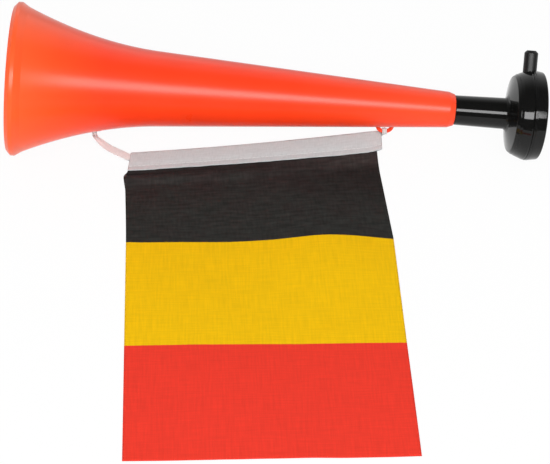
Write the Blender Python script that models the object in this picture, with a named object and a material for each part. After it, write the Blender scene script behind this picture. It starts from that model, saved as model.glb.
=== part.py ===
"""Stadium horn with a flag: a moulded bell and diaphragm mouthpiece, lying beside its spread flag.

Metres, +Z up. The horn lies on its lip and on the rim of its housing, mouth towards -X, with the flag
spread towards -Y. Along the horn, places are given by s, the distance from the plane of the mouth.
"""
import math

import bmesh
import bpy
from mathutils import Matrix, Vector

GAP = 0.0003               # clearance between pieces that touch
SIDES = 32                 # facets of a turned piece, with one flat facet down
FLAT = math.cos(math.pi / SIDES)

# Bell, outside
LIP_RADIUS = 0.0515
LIP_CHAMFER = 0.0024
LIP_CREST = 0.0032
LIP_FACE_RADIUS = LIP_RADIUS - 0.0025
LIP_BACK = LIP_CHAMFER + LIP_CREST + 0.0042    # where the lip's back slope meets the flare
FLARE_LENGTH = 0.100
FLARE_POWER = 2.087
CONE_RADIUS = 0.0249       # where the flare starts
FLARE_RISE = LIP_RADIUS - CONE_RADIUS - 0.0049
NECK_RADIUS = 0.01185
CONE_LENGTH = 0.205
BELL_LENGTH = FLARE_LENGTH + CONE_LENGTH
NECK_CHAMFER = 0.004
NECK_END_RADIUS = NECK_RADIUS - 0.00135
# Bell, inside
BELL_WALL = 0.0020
MOUTH_WALL = 0.0021        # width of the flat ring round the mouth
SOCKET_DEPTH = 0.024
PLUG_RADIUS = NECK_RADIUS - 0.00295

# Lugs: bent rods on the underside, one behind the flare and one near the neck
LUG_ANGLE = math.radians(-98)
LUG_ROD = 0.0028
LUG_SPAN = 0.0100          # between the centres of the legs
LUG_CORNER = 0.0032
LUG_SINK = 0.0010          # depth of the legs in the bell's wall
FRONT_LUG_S = FLARE_LENGTH - 0.0395
FRONT_LUG_STAND = 0.0062   # of the bar's middle, out from the bell
REAR_LUG_S = BELL_LENGTH - 0.0452
REAR_LUG_STAND = 0.0070

# Mouthpiece
PLUG_LENGTH = SOCKET_DEPTH + 0.003
STEM_RADIUS_FRONT = NECK_END_RADIUS - GAP
STEM_RADIUS_REAR = STEM_RADIUS_FRONT + 0.0006
STEM_LENGTH = 0.0355
STEM_END = BELL_LENGTH + STEM_LENGTH
STEM_BORE = PLUG_RADIUS - 0.0019
STEM_FILLET = 0.0022
HOUSING_BACK = STEM_END + 0.0053
BAND_START = HOUSING_BACK + 0.0033
SEAM = BAND_START + 0.0068
SEAM_RADIUS = 0.0306
BACK_RADIUS = SEAM_RADIUS - 0.0047
BAND_START_RADIUS = SEAM_RADIUS - 0.0023
SPIGOT_RADIUS = SEAM_RADIUS - 0.0023
SPIGOT_LENGTH = 0.0054
CHAMBER_RADIUS = SPIGOT_RADIUS - 0.0022
HOUSING_WALL = 0.0021
SEAT_WALL = 0.0020
GROOVE_DEPTH = 0.0006
FILM_THICKNESS = 0.0002

# Cap
CAP_LENGTH = SPIGOT_LENGTH + 0.0034
CAP_BEAD = 0.0011
CAP_GROOVE = 0.0008
CAP_REAR_RADIUS = SEAM_RADIUS + 0.0005
CAP_FRONT_RADIUS = CAP_REAR_RADIUS - 0.0013
CAP_EDGE = 0.0009
CAP_WALL = 0.0016
CAP_VENT = 0.0030

# Blow pipe
PIPE_ANGLE = math.radians(52)
PIPE_S = SEAM - 0.0002
PIPE_RADIUS = 0.00475
PIPE_BORE = 0.0026
PIPE_TIP = SEAM_RADIUS + 0.0140
PIPE_ROOT = CHAMBER_RADIUS - 0.0013
PIPE_CHAMFER = 0.0017

# Flag and its tapes
FLAG_HOIST = 0.178
FLAG_FLY = 0.268
CLOTH = 0.0004
HEM = 0.0075               # how far the cloth goes up into the sleeve
SLEEVE_WIDTH = 0.0156
SLEEVE_PLY = 0.0004
RIBBON_WIDTH = 0.0054
RIBBON_THICKNESS = 0.0005
BUNCHED_WIDTH = 0.0030
BUNCHED_THICKNESS = 0.0009
RIBBON_DEPTH = 0.0038      # from the sleeve's fold to the ribbon's middle
THREAD = 0.0004
STITCH = 0.0030
STITCH_LINE = 0.0020       # above the sleeve's lower edge

# Where the flag lies
FLAG_TURN = math.radians(2.68)
SLEEVE_FROM_FRONT_BAR = Vector((0.02412, -0.0169, -0.00570))
SLEEVE_FROM_REAR_BAR = Vector((-0.00200, 0.0033, -0.00230))
FLY_SHIFT = 0.0098         # of the fly's left corner from under the sleeve's left end
FLY_SLACK = 0.0082
SLEEVE_LOW_LEFT = 0.0024   # height of the sleeve's lower edge at its left end
SLEEVE_LOW_GAIN = 0.0026   # how much higher it is at its right end
SLEEVE_SPREAD = 0.10       # how much the sleeve's ends splay sideways below its gathered fold
CLOTH_INSET = 0.0015       # of the cloth's right edge from the sleeve's end
RIDGE_HEIGHT = 0.0045
RIDGE_PLACE = 0.0095
RIDGE_WIDTH = 0.0085
RIDGE_BULGE = 0.0024


def bell_radius(s):
    """Outside radius of the bell behind its lip: a straight cone with a flare added towards the mouth."""
    neck_s = BELL_LENGTH - NECK_CHAMFER
    taper = (CONE_RADIUS - NECK_RADIUS) / (neck_s - FLARE_LENGTH)
    flare = max(0.0, 1 - s / FLARE_LENGTH)
    return NECK_RADIUS + taper * (neck_s - s) + FLARE_RISE * flare ** FLARE_POWER


# The horn lies on the end of the lip's crest and on the widest place of the cap, which tilts it.
LIP_REST = LIP_CHAMFER + LIP_CREST
CAP_REST = SEAM + GAP + CAP_BEAD + CAP_GROOVE
CAP_FACE = SEAM + GAP + CAP_LENGTH
TILT = math.atan2((LIP_RADIUS - CAP_REAR_RADIUS) * FLAT, CAP_REST - LIP_REST)
MOUTH_HEIGHT = LIP_REST * math.sin(TILT) + LIP_RADIUS * FLAT * math.cos(TILT)

# Each lug is a rod bent into a staple. Both bars lie on the line that joins them, and the flag swings
# about that line.
LUG_WAY = Vector((0, math.cos(LUG_ANGLE), math.sin(LUG_ANGLE)))
FRONT_BAR = Vector((FRONT_LUG_S, 0, 0)) + LUG_WAY * (bell_radius(FRONT_LUG_S) + FRONT_LUG_STAND)
REAR_BAR = Vector((REAR_LUG_S, 0, 0)) + LUG_WAY * (bell_radius(REAR_LUG_S) + REAR_LUG_STAND)
BAR_LINE = (REAR_BAR - FRONT_BAR).normalized()


def lying(point):
    """A place on the horn, measured from the table under the middle of its mouth, as the horn lies."""
    return Vector((0, 0, MOUTH_HEIGHT)) + Matrix.Rotation(TILT, 3, "Y") @ point


SLEEVE_LEFT = lying(FRONT_BAR) + SLEEVE_FROM_FRONT_BAR
SLEEVE_RIGHT = lying(REAR_BAR) + SLEEVE_FROM_REAR_BAR
FLY_CORNER = Vector((SLEEVE_LEFT.x + FLY_SHIFT, SLEEVE_LEFT.y - FLAG_FLY + FLY_SLACK, 0))

# The middle of the mouth stands over this place, so that the whole object is centred on the origin.
LOW_X = -LIP_FACE_RADIUS * math.sin(TILT)
HIGH_X = CAP_FACE * math.cos(TILT) + (CAP_FRONT_RADIUS - CAP_EDGE) * math.sin(TILT)
MOUTH = Vector((-(LOW_X + HIGH_X) / 2, -(FLY_CORNER.y + LIP_RADIUS * FLAT) / 2, 0))


def in_world(point):
    return MOUTH + lying(point)


def material(name, color, roughness, metallic=0.0):
    made = bpy.data.materials.new(name)
    made.use_nodes = True
    shader = made.node_tree.nodes["Principled BSDF"]
    shader.inputs["Base Color"].default_value = (*color, 1)
    shader.inputs["Roughness"].default_value = roughness
    shader.inputs["Metallic"].default_value = metallic
    return made


def new_object(name, bm, materials, parent=None, smooth_angle=35):
    """Turns a bmesh into an object that is shaded smooth except at its sharp edges."""
    mesh = bpy.data.meshes.new(name)
    bm.to_mesh(mesh)
    bm.free()
    mesh.shade_smooth()
    mesh.set_sharp_from_angle(angle=math.radians(smooth_angle))
    for made in materials:
        mesh.materials.append(made)
    obj = bpy.data.objects.new(name, mesh)
    bpy.context.scene.collection.objects.link(obj)
    obj.parent = parent
    return obj


def as_tool(obj):
    obj.hide_render = True
    obj.display_type = "WIRE"
    return obj


def boolean(obj, tool, operation):
    cut = obj.modifiers.new(operation.lower() + "_" + tool.name, "BOOLEAN")
    cut.operation = operation
    cut.solver = "EXACT"
    cut.object = tool


def turned(profile, sides=SIDES):
    """Spins a closed outline of (s, r) points about local X, with one flat facet facing local -Z."""
    bm = bmesh.new()
    start = -math.pi / 2 + math.pi / sides
    verts = [bm.verts.new((s, r * math.cos(start), r * math.sin(start))) for s, r in profile]
    edges = [bm.edges.new((a, b)) for a, b in zip(verts, verts[1:] + verts[:1])]
    bmesh.ops.spin(bm, geom=verts + edges, cent=(0, 0, 0), axis=(1, 0, 0), angle=math.tau, steps=sides,
                   use_merge=True, use_duplicate=False)
    bmesh.ops.remove_doubles(bm, verts=bm.verts, dist=1e-7)
    bmesh.ops.recalc_face_normals(bm, faces=bm.faces)
    return bm


def lofted(rings, closed_ends=True):
    """Joins rings of equal length into one closed skin with flat ends."""
    bm = bmesh.new()
    loops = [[bm.verts.new(point) for point in ring] for ring in rings]
    for near, far in zip(loops, loops[1:]):
        for k in range(len(near)):
            j = (k + 1) % len(near)
            bm.faces.new((near[k], near[j], far[j], far[k]))
    if closed_ends:
        bm.faces.new(reversed(loops[0]))
        bm.faces.new(loops[-1])
    bmesh.ops.recalc_face_normals(bm, faces=bm.faces)
    return bm


def arc(center, radius, start, end, count):
    """Points of a circular arc in a plane, angles in degrees."""
    angles = [math.radians(start + (end - start) * k / count) for k in range(count + 1)]
    return [(center[0] + radius * math.cos(a), center[1] + radius * math.sin(a)) for a in angles]


def stride(a, b):
    """Distance between two rows of numbers whose first three are a place."""
    return (Vector(b[:3]) - Vector(a[:3])).length


def smooth_path(points, step):
    """A Catmull-Rom curve through rows of numbers, resampled at an even step along their places."""
    fine = []
    padded = [2 * points[0] - points[1], *points, 2 * points[-1] - points[-2]]
    for p0, p1, p2, p3 in zip(padded, padded[1:], padded[2:], padded[3:]):
        for k in range(24):
            t = k / 24
            fine.append(0.5 * (2 * p1 + (p2 - p0) * t + (2 * p0 - 5 * p1 + 4 * p2 - p3) * t * t
                               + (3 * p1 - p0 - 3 * p2 + p3) * t ** 3))
    fine.append(points[-1].copy())
    total = sum(stride(a, b) for a, b in zip(fine, fine[1:]))
    count = max(2, round(total / step))
    even, walked, target = [fine[0]], 0.0, total / count
    for a, b in zip(fine, fine[1:]):
        length = stride(a, b)
        while length > 0 and walked + length >= target * len(even) - 1e-9 and len(even) < count:
            even.append(a.lerp(b, (target * len(even) - walked) / length))
        walked += length
    even.append(fine[-1])
    return even


for old in list(bpy.data.objects):
    bpy.data.objects.remove(old, do_unlink=True)

orange = material("orange_plastic", (1.0, 0.09, 0.03), 0.38)
black = material("black_plastic", (0.012, 0.012, 0.012), 0.22)
film = material("clear_film", (0.75, 0.78, 0.8), 0.15)
tape = material("white_tape", (0.75, 0.72, 0.71), 0.75)
cloth_black = material("cloth_black", (0.028, 0.026, 0.025), 0.85)
cloth_yellow = material("cloth_yellow", (0.84, 0.5, 0.004), 0.8)
cloth_red = material("cloth_red", (0.85, 0.045, 0.03), 0.8)

# The horn's line runs through the middle of everything turned, from the mouth, along its local X.
horn = bpy.data.objects.new("horn_line", None)
horn.location = MOUTH + Vector((0, 0, MOUTH_HEIGHT))
horn.rotation_euler = (0, TILT, 0)
bpy.context.scene.collection.objects.link(horn)


def bell_outline():
    """Closed outline of the bell's wall: the outside from lip to neck, then the inside back to the mouth."""
    neck_s = BELL_LENGTH - NECK_CHAMFER
    socket = PLUG_RADIUS + GAP
    socket_s = BELL_LENGTH - SOCKET_DEPTH
    throat_s = socket_s - SOCKET_DEPTH / 5
    outside = [(0, LIP_FACE_RADIUS), (LIP_CHAMFER, LIP_RADIUS), (LIP_REST, LIP_RADIUS)]
    flare_steps = 12
    flare = [LIP_BACK + (FLARE_LENGTH - LIP_BACK) * k / flare_steps for k in range(flare_steps + 1)]
    outside += [(s, bell_radius(s)) for s in flare]
    outside += [(neck_s, NECK_RADIUS), (BELL_LENGTH, NECK_END_RADIUS)]
    inside = [(BELL_LENGTH, socket), (socket_s, socket), (throat_s, bell_radius(throat_s) - BELL_WALL)]
    inside += [(s, bell_radius(s) - BELL_WALL) for s in reversed(flare[1:])]
    inside += [(0, LIP_FACE_RADIUS - MOUTH_WALL)]
    return outside + inside


bell = new_object("bell", turned(bell_outline()), [orange], horn)

outward = (LUG_WAY - BAR_LINE * LUG_WAY.dot(BAR_LINE)).normalized()


def lug_route(bar):
    """The rod's centre line: up one leg, round the corner, along the bar and down the other leg."""
    corners = []
    for side in (-1, 1):
        top = bar + BAR_LINE * side * LUG_SPAN / 2
        depth = Vector((0, top.y, top.z)).length - bell_radius(top.x) + LUG_SINK
        turn = bar + BAR_LINE * side * (LUG_SPAN / 2 - LUG_CORNER) - outward * LUG_CORNER
        bend = [turn + LUG_CORNER * (BAR_LINE * side * math.cos(a) + outward * math.sin(a))
                for a in (math.radians(15 * k) for k in range(7))]
        leg = [top - outward * depth] + bend
        corners += leg if side < 0 else list(reversed(leg))
    return corners


def swept_rod(route, radius, sides):
    """A round rod along a route that lies in the plane of BAR_LINE and outward."""
    across = BAR_LINE.cross(outward)
    rings = []
    for k, point in enumerate(route):
        ahead = route[min(k + 1, len(route) - 1)] - route[max(k - 1, 0)]
        normal = across.cross(ahead.normalized())
        rings.append([point + radius * (across * math.cos(a) + normal * math.sin(a))
                      for a in (math.tau * (j + 0.5) / sides for j in range(sides))])
    return lofted(rings)


for lug_name, bar in (("front_lug_tool", FRONT_BAR), ("rear_lug_tool", REAR_BAR)):
    lug = as_tool(new_object(lug_name, swept_rod(lug_route(bar), LUG_ROD / 2, 10), [orange], horn))
    boolean(bell, lug, "UNION")


def mouthpiece_outline():
    """Closed outline of the stem and the rear shell: outside from plug to spigot, then the inside back."""
    plug_end = BELL_LENGTH - PLUG_LENGTH
    shoulder = BELL_LENGTH + GAP
    outside = [(plug_end, STEM_BORE), (plug_end, PLUG_RADIUS - 0.0004), (plug_end + 0.0006, PLUG_RADIUS),
               (shoulder, PLUG_RADIUS), (shoulder, STEM_RADIUS_FRONT - 0.0007),
               (shoulder + 0.0008, STEM_RADIUS_FRONT), (STEM_END, STEM_RADIUS_REAR)]
    center = (STEM_END, STEM_RADIUS_REAR + STEM_FILLET)
    outside += arc(center, STEM_FILLET, -68, -15, 3)
    outside += [(HOUSING_BACK, BACK_RADIUS), (HOUSING_BACK + 0.0004, BACK_RADIUS + 0.0008),
                (HOUSING_BACK + 0.0012, BACK_RADIUS + 0.0014), (HOUSING_BACK + 0.0021, BACK_RADIUS + 0.0017),
                (HOUSING_BACK + 0.0023, BACK_RADIUS + 0.0017 - GROOVE_DEPTH),
                (BAND_START - 0.0002, BAND_START_RADIUS - GROOVE_DEPTH), (BAND_START, BAND_START_RADIUS),
                (SEAM - 0.0008, SEAM_RADIUS), (SEAM, SEAM_RADIUS - GROOVE_DEPTH),
                (SEAM, SPIGOT_RADIUS), (SEAM + SPIGOT_LENGTH, SPIGOT_RADIUS)]
    seat = STEM_BORE + SEAT_WALL
    floor_s = HOUSING_BACK - 0.0006
    inside = [(SEAM + SPIGOT_LENGTH, CHAMBER_RADIUS), (BAND_START, CHAMBER_RADIUS),
              (HOUSING_BACK + HOUSING_WALL, CHAMBER_RADIUS - 0.0013), (floor_s, seat),
              (SEAM + SPIGOT_LENGTH, seat), (SEAM + SPIGOT_LENGTH, STEM_BORE)]
    return outside + inside


# The mouthpiece's origin is on the horn's line, where it turns in the neck.
mouthpiece = new_object("mouthpiece", turned(mouthpiece_outline()), [black], horn)

film_s = SEAM + SPIGOT_LENGTH + GAP


def disc(radius, low, high, sides):
    """A round plate about local X between two places."""
    bm = bmesh.new()
    turn = Matrix.Rotation(math.pi / 2, 4, "Y")
    shift = Matrix.Translation(((low + high) / 2, 0, 0))
    bmesh.ops.create_cone(bm, cap_ends=True, segments=sides, radius1=radius, radius2=radius,
                          depth=high - low, matrix=shift @ turn)
    return bm


new_object("diaphragm", disc(SPIGOT_RADIUS - GAP, film_s, film_s + FILM_THICKNESS, 48), [film], horn)


def cap_outline():
    """Closed outline of the cap: outside from the seam to the face, then the inside back."""
    rear = SEAM + GAP
    groove = rear + CAP_BEAD
    band = groove + CAP_GROOVE
    ledge = film_s + FILM_THICKNESS + GAP
    skirt = SPIGOT_RADIUS + GAP
    outside = [(rear, CAP_REAR_RADIUS - 0.0004), (rear + 0.0002, CAP_REAR_RADIUS),
               (groove, CAP_REAR_RADIUS), (groove + 0.0002, CAP_REAR_RADIUS - GROOVE_DEPTH),
               (band - 0.0002, CAP_REAR_RADIUS - GROOVE_DEPTH), (band, CAP_REAR_RADIUS),
               (CAP_FACE - CAP_EDGE, CAP_FRONT_RADIUS), (CAP_FACE - CAP_EDGE / 3, CAP_FRONT_RADIUS - CAP_EDGE / 3),
               (CAP_FACE, CAP_FRONT_RADIUS - CAP_EDGE)]
    inside = [(CAP_FACE, CAP_VENT), (CAP_FACE - CAP_WALL, CAP_VENT),
              (CAP_FACE - CAP_WALL, CHAMBER_RADIUS), (ledge, CHAMBER_RADIUS), (ledge, skirt), (rear, skirt)]
    return outside + inside


# The cap's origin is on the line along which it pulls off.
cap = new_object("cap", turned(cap_outline()), [black], horn)

pipe_way = Vector((0, math.cos(PIPE_ANGLE), math.sin(PIPE_ANGLE)))
pipe_turn = Vector((1, 0, 0)).rotation_difference(pipe_way)


def on_pipe_line(obj):
    obj.location = (PIPE_S, 0, 0)
    obj.rotation_mode = "QUATERNION"
    obj.rotation_quaternion = pipe_turn
    return obj


tip_radius = PIPE_RADIUS - PIPE_CHAMFER
pipe_outline = [(PIPE_ROOT, PIPE_BORE), (PIPE_ROOT, PIPE_RADIUS), (PIPE_TIP - PIPE_CHAMFER, PIPE_RADIUS),
                (PIPE_TIP, tip_radius), (PIPE_TIP, PIPE_BORE)]
blow_pipe = on_pipe_line(new_object("blow_pipe", turned(pipe_outline, 24), [black], horn))
pipe_hole = disc(PIPE_RADIUS + GAP, PIPE_ROOT - 0.002, LIP_RADIUS, 24)
pipe_tool = as_tool(on_pipe_line(new_object("pipe_hole_tool", pipe_hole, [black], horn)))
boolean(mouthpiece, pipe_tool, "DIFFERENCE")
boolean(cap, pipe_tool, "DIFFERENCE")


def fold_line(u):
    """The sleeve's upper edge, from its left end at 0 to its right end at 1."""
    level = SLEEVE_LEFT.lerp(SLEEVE_RIGHT, u)
    return MOUTH + Vector((level.x, level.y, SLEEVE_LEFT.z + (SLEEVE_RIGHT.z - SLEEVE_LEFT.z) * u * u))


def sleeve_down(u):
    slope = math.asin((fold_line(u).z - SLEEVE_LOW_LEFT - SLEEVE_LOW_GAIN * u * u) / SLEEVE_WIDTH)
    return Vector((SLEEVE_SPREAD * (1.5 * u - 1), -math.cos(slope), -math.sin(slope)))


def sleeve_normal(u):
    down = sleeve_down(u)
    return Vector((0, down.z, -down.y))


RIBBON_ROOM = RIBBON_THICKNESS / 2 + GAP
HALF_SLEEVE = RIBBON_ROOM + SLEEVE_PLY


def sleeve_section():
    """The folded tape in cross-section: distance below the fold, and distance from its middle."""
    outer = [(HALF_SLEEVE - x, y) for x, y in arc((0, 0), HALF_SLEEVE, 90, -90, 6)]
    inner = [(HALF_SLEEVE - x, y) for x, y in arc((0, 0), RIBBON_ROOM, -90, 90, 6)]
    return [(SLEEVE_WIDTH, HALF_SLEEVE), *outer, (SLEEVE_WIDTH, -HALF_SLEEVE),
            (SLEEVE_WIDTH, -RIBBON_ROOM), *inner, (SLEEVE_WIDTH, RIBBON_ROOM)]


SLEEVE_STEPS = 20
section = sleeve_section()
sleeve_rings = []
for step in range(SLEEVE_STEPS + 1):
    u = step / SLEEVE_STEPS
    base, down, normal = fold_line(u), sleeve_down(u), sleeve_normal(u)
    sleeve_rings.append([base + down * q + normal * n for q, n in section])
new_object("hoist_sleeve", lofted(sleeve_rings), [tape])


def flag_grid():
    """Points of the cloth's middle surface, in rows from the hoist to the fly, and each row's band."""
    along = Vector((math.cos(FLAG_TURN), math.sin(FLAG_TURN), 0))
    up = Vector((-math.sin(FLAG_TURN), math.cos(FLAG_TURN), 0))
    band = FLAG_FLY / 3
    right_u = 1 - CLOTH_INSET / (SLEEVE_RIGHT - SLEEVE_LEFT).length
    columns, hem_rows, slope_rows, band_rows = 20, 1, 12, 4
    rows = []
    for row in range(hem_rows + slope_rows + 2 * band_rows + 1):
        points = []
        for column in range(columns + 1):
            u = column / columns
            su = u * right_u
            edge = fold_line(su) + sleeve_down(su) * SLEEVE_WIDTH
            border = MOUTH + FLY_CORNER + along * FLAG_HOIST * u + up * 2 * band + Vector((0, 0, CLOTH / 2))
            if row <= hem_rows:
                point = edge - sleeve_down(su) * HEM * (1 - row / hem_rows)
            elif row <= hem_rows + slope_rows:
                t = ((row - hem_rows) / slope_rows) ** 1.35
                ahead = (border - edge).length * t
                down = sleeve_down(su)
                fall = 2 * (edge.z - CLOTH / 2) * down.y / down.z
                drop = max(0.0, 1 - ahead / fall) ** 2
                ridge = math.exp(-((ahead - RIDGE_PLACE) / (RIDGE_WIDTH / 2)) ** 2) * (1 - u) ** 1.2
                rise = RIDGE_HEIGHT * ridge * min(1.0, ahead / (RIDGE_PLACE / 2))
                point = edge.lerp(border, t)
                point.z = CLOTH / 2 + (edge.z - CLOTH / 2) * drop + rise
                point.x -= RIDGE_BULGE * ridge * (1 - u) ** 4
            else:
                point = border - up * band * (row - hem_rows - slope_rows) / band_rows
            points.append(point)
        rows.append(points)
    bands = [0] * (hem_rows + slope_rows) + [1] * band_rows + [2] * band_rows
    return rows, bands


def cloth_body(rows, bands, thickness):
    """A closed sheet of even thickness about a grid of points, one material for each band."""
    bm = bmesh.new()
    height, width = len(rows), len(rows[0])
    sides = []
    for side in (1, -1):
        layer = []
        for i in range(height):
            line = []
            for j in range(width):
                along = rows[i][min(j + 1, width - 1)] - rows[i][max(j - 1, 0)]
                down = rows[min(i + 1, height - 1)][j] - rows[max(i - 1, 0)][j]
                normal = down.cross(along).normalized()
                line.append(bm.verts.new(rows[i][j] + normal * side * thickness / 2))
            layer.append(line)
        sides.append(layer)
    top, bottom = sides
    for i in range(height - 1):
        for j in range(width - 1):
            for layer in (top, bottom):
                face = bm.faces.new((layer[i][j], layer[i + 1][j], layer[i + 1][j + 1], layer[i][j + 1]))
                face.material_index = bands[i]
        for j in (0, width - 1):
            face = bm.faces.new((top[i][j], top[i + 1][j], bottom[i + 1][j], bottom[i][j]))
            face.material_index = bands[i]
    for i in (0, height - 1):
        for j in range(width - 1):
            face = bm.faces.new((top[i][j], top[i][j + 1], bottom[i][j + 1], bottom[i][j]))
            face.material_index = bands[min(i, height - 2)]
    bmesh.ops.recalc_face_normals(bm, faces=bm.faces)
    return bm


cloth_rows, cloth_bands = flag_grid()
new_object("flag_cloth", cloth_body(cloth_rows, cloth_bands, CLOTH), [cloth_black, cloth_yellow, cloth_red])


LOOP_RADIUS = LUG_ROD / 2 + GAP + BUNCHED_THICKNESS / 2
STRAND_SPACING = (BUNCHED_THICKNESS + 2 * GAP) / 2
TAIL = 0.0075


def ribbon_row(place, normal, bunched):
    """One station of the ribbon: its place, the way its face looks, and how far it is bunched together."""
    return Vector((*place, *normal, bunched))


def looped(bar, way, tail):
    """Stations of a loop round a lug's bar, from the tail round to the strand that leaves along way."""
    side = Vector((0, way.z, -way.y))
    rows = [ribbon_row(bar + way * tail - side * STRAND_SPACING, -side, 1)]
    for k in range(9):
        angle = math.radians(-75 - 210 * k / 8)
        face = way * math.cos(angle) + side * math.sin(angle)
        rows.append(ribbon_row(bar + LOOP_RADIUS * face, face, 1))
    rows.append(ribbon_row(bar + way * tail * 0.7 + side * STRAND_SPACING, side, 1))
    return rows


def in_tunnel(u, bunched):
    return ribbon_row(fold_line(u) + sleeve_down(u) * RIBBON_DEPTH, sleeve_normal(u), bunched)


front_loop_at = in_world(FRONT_BAR - BAR_LINE * 0.0012)
rear_loop_at = in_world(REAR_BAR + BAR_LINE * 0.0011)
route = looped(front_loop_at, Vector((0, -0.79, -0.61)), TAIL)
slack = fold_line(0) + sleeve_down(0) * RIBBON_DEPTH - front_loop_at
for x, y, z, bunched in ((0.10, 0.34, 0.78, 0.85), (0.25, 0.48, 0.97, 0.5), (0.43, 0.64, 1.05, 0.2),
                         (0.62, 0.79, 1.06, 0), (0.82, 0.915, 1.04, 0)):
    place = front_loop_at + Vector((x * slack.x, y * slack.y, z * slack.z))
    route.append(ribbon_row(place, sleeve_normal(0), bunched))
route += [in_tunnel(u, 0) for u in (0.0, 0.05, 0.25, 0.5, 0.75, 0.95)]
route.append(in_tunnel(1.0, 0.2))
bend = fold_line(1) + sleeve_down(1) * RIBBON_DEPTH + Vector((0.0017, 0.0002, 0.0002))
route.append(ribbon_row(bend, sleeve_normal(1), 0.9))
route += reversed(looped(rear_loop_at, Vector((0, -0.10, -0.99)), TAIL * 0.45))


def ribbon_rings(path):
    """Rectangular sections of the ribbon."""
    rings = []
    for k, row in enumerate(path):
        ahead = Vector(path[min(k + 1, len(path) - 1)][:3]) - Vector(path[max(k - 1, 0)][:3])
        normal = Vector(row[3:6])
        across = normal.cross(ahead).normalized()
        normal = ahead.cross(across).normalized()
        half_width = (RIBBON_WIDTH + (BUNCHED_WIDTH - RIBBON_WIDTH) * row[6]) / 2
        half_depth = (RIBBON_THICKNESS + (BUNCHED_THICKNESS - RIBBON_THICKNESS) * row[6]) / 2
        rings.append([Vector(row[:3]) + across * half_width * a + normal * half_depth * b
                      for a, b in ((-1, -1), (1, -1), (1, 1), (-1, 1))])
    return rings


new_object("tie_ribbon", lofted(ribbon_rings(smooth_path(route, 0.0011))), [tape])


def thread_route():
    """The stitches on the sleeve's front, each a low arch between two needle holes."""
    length = (fold_line(1) - fold_line(0)).length
    count = round(length / STITCH)
    points = []
    for k in range(2 * count + 1):
        u = 0.002 + 0.996 * k / (2 * count)
        height = HALF_SLEEVE + GAP + THREAD / 2 + (THREAD / 2 if k % 2 else 0)
        points.append(fold_line(u) + sleeve_down(u) * (SLEEVE_WIDTH - STITCH_LINE) + sleeve_normal(u) * height)
    return points


def thread_body(path):
    rings = []
    for k, point in enumerate(path):
        u = k / (len(path) - 1)
        normal, across = sleeve_normal(u), sleeve_down(u)
        rings.append([point + THREAD / 2 * (across * math.cos(a) + normal * math.sin(a))
                      for a in (math.tau * (j + 0.5) / 4 for j in range(4))])
    return lofted(rings)


new_object("hoist_thread", thread_body(thread_route()), [tape])
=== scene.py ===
"""Looks of a stadium horn with a small cloth flag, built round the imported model.

Metres, +Z up. The horn lies on its lip and on the rim of its housing, mouth towards -X, and the flag is
spread towards -Y. Along the horn, places are given by s, the distance from the plane of the mouth.
"""
import math

import bmesh
import bpy
from mathutils import Matrix, Vector, noise


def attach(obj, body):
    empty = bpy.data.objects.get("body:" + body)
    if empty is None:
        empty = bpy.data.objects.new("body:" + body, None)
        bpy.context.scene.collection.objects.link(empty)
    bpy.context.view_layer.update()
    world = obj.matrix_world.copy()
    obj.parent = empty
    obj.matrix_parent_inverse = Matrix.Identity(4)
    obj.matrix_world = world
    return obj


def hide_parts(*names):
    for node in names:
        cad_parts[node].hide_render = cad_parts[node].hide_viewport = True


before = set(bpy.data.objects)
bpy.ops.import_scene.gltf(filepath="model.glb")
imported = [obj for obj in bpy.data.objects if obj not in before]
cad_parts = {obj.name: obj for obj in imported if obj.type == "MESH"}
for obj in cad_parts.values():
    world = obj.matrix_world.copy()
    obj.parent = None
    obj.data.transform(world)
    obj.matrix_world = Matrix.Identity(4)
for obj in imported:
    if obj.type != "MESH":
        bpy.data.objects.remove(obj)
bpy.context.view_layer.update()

# Camera: it stands in front of the flag and looks down on the table at about 45 degrees.
# It is turned a little to the right and rolled a little, and its long lens gives a nearly flat view.
VIEW_DOWN = math.radians(45.578)
VIEW_TURN = math.radians(2.084)
VIEW_ROLL = math.radians(-2.924)
EYE = Vector((-0.029082, -0.79147, 0.834734))
PICTURE_WIDTH = 550
FOCAL_PIXELS = 1749.667
SENSOR = 36

ahead = Vector((math.sin(VIEW_TURN) * math.cos(VIEW_DOWN), math.cos(VIEW_TURN) * math.cos(VIEW_DOWN),
                -math.sin(VIEW_DOWN)))
level_right = Vector((math.cos(VIEW_TURN), -math.sin(VIEW_TURN), 0))
level_up = level_right.cross(ahead)
view_right = level_right * math.cos(VIEW_ROLL) - level_up * math.sin(VIEW_ROLL)
view_up = level_right * math.sin(VIEW_ROLL) + level_up * math.cos(VIEW_ROLL)
camera_data = bpy.data.cameras.new("table_camera")
camera_data.sensor_width = SENSOR
camera_data.lens = FOCAL_PIXELS * SENSOR / PICTURE_WIDTH
camera_data.clip_start = 0.01
camera_data.clip_end = 20
camera = bpy.data.objects.new("table_camera", camera_data)
camera.matrix_world = Matrix.Translation(EYE) @ Matrix((view_right, view_up, -ahead)).transposed().to_4x4()
bpy.context.scene.collection.objects.link(camera)
bpy.context.scene.camera = camera
bpy.context.scene.view_settings.view_transform = "Standard"

# Table and studio: a white table top under soft lamps at the camera, in pale surroundings that are dim only
# behind the camera. Table and surroundings look white to the camera and to reflections. A panel beyond the
# horn shows only as a gleam along the top of its orange moulding.
TABLE_SIZE = 8.0
TABLE_WHITE = 0.9
TABLE_ROUGHNESS = 0.9
TABLE_GLOW = 0.95
AMBIENT = 0.46
DIM_REFLECTION = 0.03
DIM_EDGE = 0.45
LAMPS_BEHIND = 0.15
KEY_SIZE = (2.3, 0.38)
KEY_POWER = 19.0
STRIP_SIZE = (1.8, 0.45)
STRIP_POWER = 39.0
STRIP_ASIDE = 0.15
PANEL_SIZE = (3.2, 1.5)
PANEL_POWER = 20.0
PANEL_CENTER = Vector((0, 1.25, 0.95))


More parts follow.
